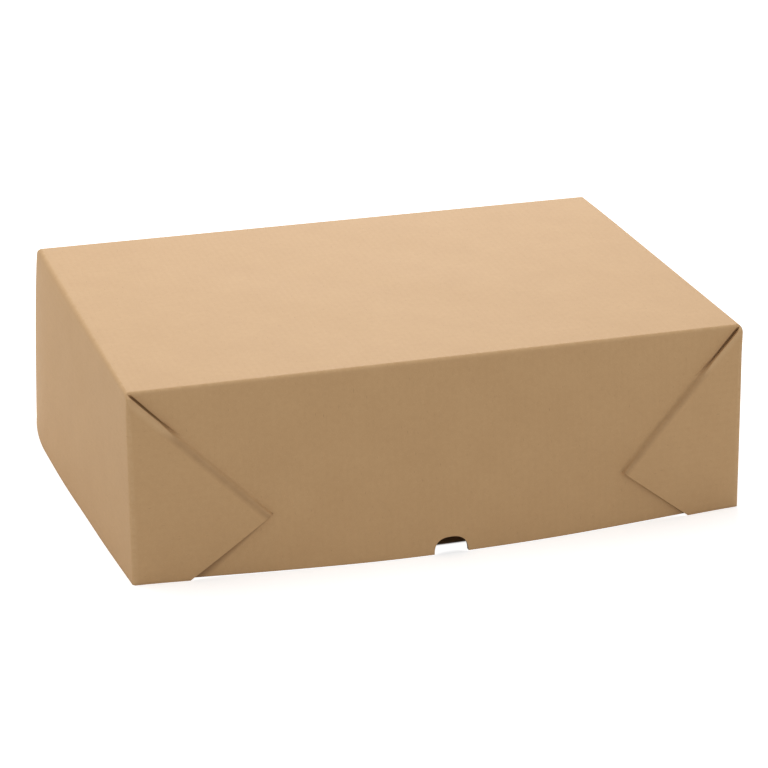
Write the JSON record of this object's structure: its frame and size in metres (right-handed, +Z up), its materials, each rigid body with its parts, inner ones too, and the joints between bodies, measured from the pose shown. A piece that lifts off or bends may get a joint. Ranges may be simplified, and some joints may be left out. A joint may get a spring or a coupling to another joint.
{
  "type": "archival storage box",
  "caption": "Two-piece corrugated cardboard storage box for A4 papers: a full-depth lid with glued corner flaps and thumb notches over a base tray.",
  "frame": {"origin": "on the floor, under the middle of the closed box", "axes": "+X along the long walls, the front wall faces -Y, +Z up out of the lid"},
  "size_m": [0.3248, 0.2396, 0.096],
  "materials": {
    "base_board": "uncoated brown kraft corrugated board",
    "lid_board": "uncoated brown kraft corrugated board"
  },
  "bodies": {
    "base": {"base": "base_board"},
    "lid": {"lid": "lid_board"}
  },
  "joints": [
    {"name": "lid_lift", "type": "slide", "parent": "base", "child": "lid", "axis": [0, 0, 1], "range_m": [0, 0.12]}
  ]
}
